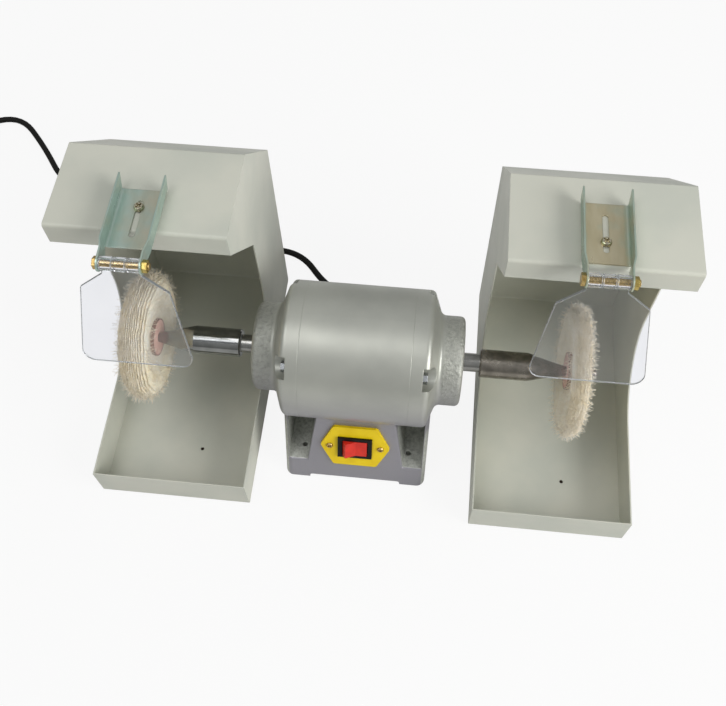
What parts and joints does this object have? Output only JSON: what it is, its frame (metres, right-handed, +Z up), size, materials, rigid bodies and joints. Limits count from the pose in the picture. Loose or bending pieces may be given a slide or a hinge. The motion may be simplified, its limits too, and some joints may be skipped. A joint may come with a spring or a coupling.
{
  "type": "dental polishing lathe",
  "caption": "Bench polishing lathe: silver twin-shaft motor on a cast pedestal, cotton buffs on tapered spindles, folded metal hoods with hinged clear shields.",
  "frame": {"origin": "on the bench under the middle of the pedestal, below the middle of the shaft", "axes": "+X along the shaft to the right seen from the front, +Y to the back, +Z up; the switch faces -Y"},
  "size_m": [0.7841, 0.4246, 0.2706],
  "materials": {
    "motor_paint": "semi-gloss metallic silver paint on a casting",
    "zinc_steel": "bright zinc plate",
    "bracket_steel": "zinc plate, lightly passivated",
    "cover_steel": "matte paint",
    "lamination": "varnished steel sheet",
    "copper_winding": "enamelled wire",
    "cast_aluminium": "as cast",
    "fan_plastic": "moulded",
    "shaft_steel": "ground",
    "bearing_steel": "polished",
    "spindle_polished": "polished",
    "spindle_turned": "turned",
    "black_steel": "black oxide",
    "cotton": "frayed unbleached cotton",
    "pink_leather": "matte",
    "yellow_paint": "gloss enamel",
    "brass_screw": "bright",
    "switch_black": "moulded",
    "rocker_red": "moulded",
    "capacitor_case": "moulded",
    "terminal_plastic": "moulded",
    "hood_powder": "satin powder coat",
    "yellow_zinc": "yellow zinc plate",
    "clear_acrylic": "clear sheet, polished edges",
    "cord_pvc": "soft PVC",
    "plug_pvc": "moulded PVC",
    "tie_plastic": "moulded"
  },
  "bodies": {
    "motor": {"motor_housing": "motor_paint", "end_bell_right": "motor_paint", "end_bell_left": "motor_paint", "end_bell_bolts": "zinc_steel", "bottom_cover": "cover_steel", "bottom_cover_screws": "zinc_steel", "stator_core": "lamination", "stator_winding": "copper_winding", "bearing_outer_rings": "bearing_steel", "bearing_balls": "bearing_steel", "switch_plate": "yellow_paint", "switch_plate_screws": "brass_screw", "switch_body": "switch_black", "switch_tabs": "brass_screw", "run_capacitor": "capacitor_case", "capacitor_clip": "zinc_steel", "terminal_block": "terminal_plastic", "terminal_screws": "zinc_steel", "cord_gland": "cord_pvc", "power_cord": "cord_pvc", "cord_coil": "cord_pvc", "cord_tie": "tie_plastic", "power_plug": "plug_pvc", "power_plug_pins": "brass_screw"},
    "rotor": {"motor_shaft": "shaft_steel", "rotor_core": "lamination", "rotor_cage_rings": "cast_aluminium", "cooling_fan": "fan_plastic", "bearing_inner_rings": "bearing_steel", "spindle_right": "spindle_turned", "spindle_left": "spindle_polished", "spindle_set_screws": "black_steel", "buff_right": "cotton", "buff_left": "cotton", "leather_discs_right": "pink_leather", "leather_discs_left": "pink_leather"},
    "rocker": {"switch_rocker": "rocker_red"},
    "left_hood": {"hood_left": "hood_powder", "clamp_screw_left": "zinc_steel", "clamp_nut_left": "zinc_steel"},
    "left_bracket": {"bracket_left": "bracket_steel", "hinge_bolt_left": "yellow_zinc", "hinge_nut_left": "yellow_zinc"},
    "left_shield": {"shield_left": "clear_acrylic"},
    "right_hood": {"hood_right": "hood_powder", "clamp_screw_right": "zinc_steel", "clamp_nut_right": "zinc_steel"},
    "right_bracket": {"bracket_right": "bracket_steel", "hinge_bolt_right": "yellow_zinc", "hinge_nut_right": "yellow_zinc"},
    "right_shield": {"shield_right": "clear_acrylic"}
  },
  "joints": [
    {"name": "rotor_spin", "type": "hinge", "parent": "motor", "child": "rotor", "pos_m": [0, 0, 0.117], "axis": [1, 0, 0], "continuous": true},
    {"name": "rocker_tilt", "type": "hinge", "parent": "motor", "child": "rocker", "pos_m": [0, -0.05176, 0.04351], "axis": [0, -0.342, -0.9397], "range_deg": [0, 26]},
    {"name": "left_hood_slide", "type": "slide", "parent": "motor", "child": "left_hood", "axis": [-1, 0, 0], "range_m": [0, 0.12]},
    {"name": "left_bracket_slide", "type": "slide", "parent": "left_hood", "child": "left_bracket", "axis": [0, 1, 0], "range_m": [-0.0041, 0.0235]},
    {"name": "left_shield_hinge", "type": "hinge", "parent": "left_bracket", "child": "left_shield", "pos_m": [-0.156, -0.0276, 0.264], "axis": [-1, 0, 0], "range_deg": [-20, 95]},
    {"name": "right_hood_slide", "type": "slide", "parent": "motor", "child": "right_hood", "axis": [1, 0, 0], "range_m": [0, 0.12]},
    {"name": "right_bracket_slide", "type": "slide", "parent": "right_hood", "child": "right_bracket", "axis": [0, -1, 0], "range_m": [-0.0065, 0.0211]},
    {"name": "right_shield_hinge", "type": "hinge", "parent": "right_bracket", "child": "right_shield", "pos_m": [0.169, -0.0106, 0.264], "axis": [-1, 0, 0], "range_deg": [-20, 95]}
  ]
}
